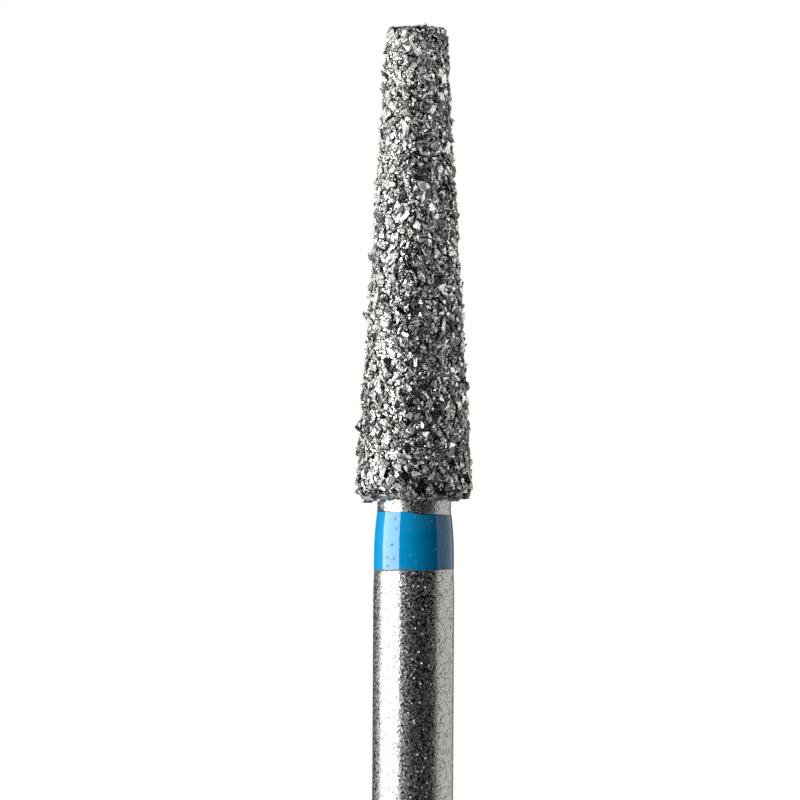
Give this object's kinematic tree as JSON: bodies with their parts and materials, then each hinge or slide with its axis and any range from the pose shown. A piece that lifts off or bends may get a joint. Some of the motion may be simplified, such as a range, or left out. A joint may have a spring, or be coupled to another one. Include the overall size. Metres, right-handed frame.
{
  "type": "dental bur",
  "caption": "Diamond-coated flat-end tapered dental bur with a lacquered colour ring, on a smooth friction-grip shank, for cutting tooth enamel.",
  "frame": {"origin": "centre of the shank's flat end face", "axes": "+Z along the axis of rotation, from the shank's end towards the flat tip of the head"},
  "size_m": [0.0024, 0.0024, 0.0226],
  "materials": {
    "stainless_steel": "satin ground",
    "nickel_plating": "bright nodular plating",
    "diamond": "faceted grey crystals",
    "blue_lacquer": "glossy lacquer"
  },
  "bodies": {
    "root": {"steel_blank": "stainless_steel", "nickel_bond": "nickel_plating", "diamond_grit": "diamond", "colour_ring": "blue_lacquer"}
  },
  "joints": []
}
